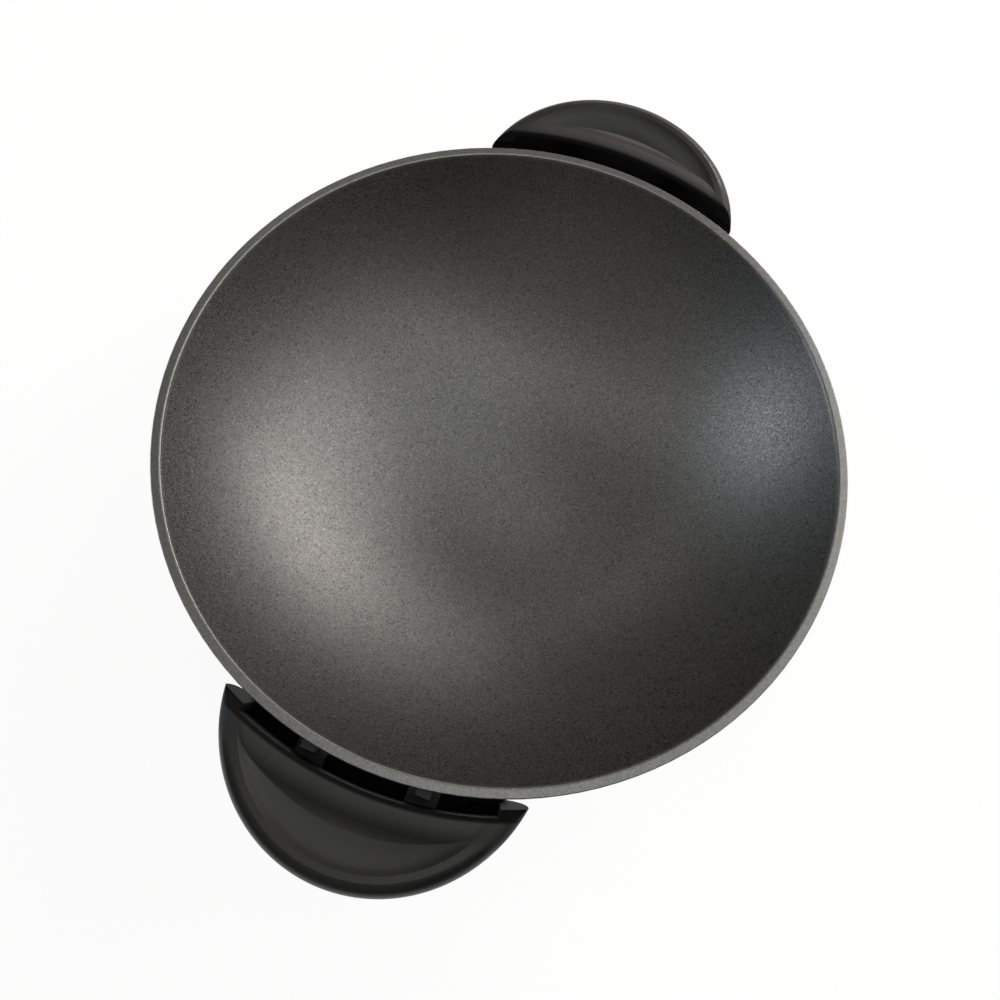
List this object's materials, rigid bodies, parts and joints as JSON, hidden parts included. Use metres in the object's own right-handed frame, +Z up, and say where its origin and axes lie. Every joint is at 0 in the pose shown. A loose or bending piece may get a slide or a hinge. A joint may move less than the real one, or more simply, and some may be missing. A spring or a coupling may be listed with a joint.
{
  "type": "electric wok",
  "caption": "Round-bottomed electric wok with two side handles, a plug-in thermostat socket and a lift-off bowl on a legged stand.",
  "frame": {"origin": "on the surface it stands on, under the bowl's own axis, at the centre of the footprint", "axes": "+Z up along the bowl's axis, +X through one handle, -Y out of the thermostat socket"},
  "size_m": [0.456, 0.356, 0.1638],
  "materials": {
    "bowl_coating": "satin dark grey non-stick coating with fine metallic fleck, over cast aluminium",
    "handle_plastic": "satin black moulded phenolic",
    "stand_plastic": "fine-grained black moulded phenolic",
    "element_sheath": "dull heat-darkened steel sheath",
    "bright_steel": "plain zinc-bright steel",
    "ceramic_bead": "unglazed cream ceramic",
    "dish_sheet": "bright spun aluminium",
    "screw_steel": "zinc-plated screw steel",
    "foot_rubber": "matt black rubber",
    "seat_silicone": "grey heat-proof silicone"
  },
  "bodies": {
    "base": {"stand": "stand_plastic", "reflector_dish": "dish_sheet", "dish_screws": "screw_steel", "seat_pad_back_right": "seat_silicone", "seat_pad_back_left": "seat_silicone", "seat_pad_front_left": "seat_silicone", "seat_pad_front_right": "seat_silicone", "foot_back_right": "foot_rubber", "foot_back_left": "foot_rubber", "foot_front_left": "foot_rubber", "foot_front_right": "foot_rubber", "foot_screws": "screw_steel", "slide_guide_inner": "bright_steel", "slide_guide_outer": "bright_steel", "guide_screws": "screw_steel"},
    "wok": {"wok_bowl": "bowl_coating", "heating_element": "element_sheath", "terminal_pin_left": "bright_steel", "terminal_pin_right": "bright_steel", "terminal_insulator_left": "ceramic_bead", "terminal_insulator_right": "ceramic_bead", "sensor_sleeve": "bright_steel", "socket_shroud": "handle_plastic", "socket_screws": "screw_steel", "handle_shell_left": "handle_plastic", "handle_shell_right": "handle_plastic", "handle_cover_left": "handle_plastic", "handle_cover_right": "handle_plastic", "handle_screws": "screw_steel", "handle_washers": "screw_steel", "cover_screws": "screw_steel", "lock_stud": "bright_steel"},
    "bowl_lock": {"lock_slide": "bright_steel", "lock_knob": "stand_plastic", "knob_rivets": "bright_steel"}
  },
  "joints": [
    {"name": "bowl_lift", "type": "slide", "parent": "base", "child": "wok", "axis": [0, 0, 1], "range_m": [0, 0.12]},
    {"name": "lock_travel", "type": "slide", "parent": "base", "child": "bowl_lock", "axis": [0, -1, 0], "range_m": [0, 0.012]}
  ]
}
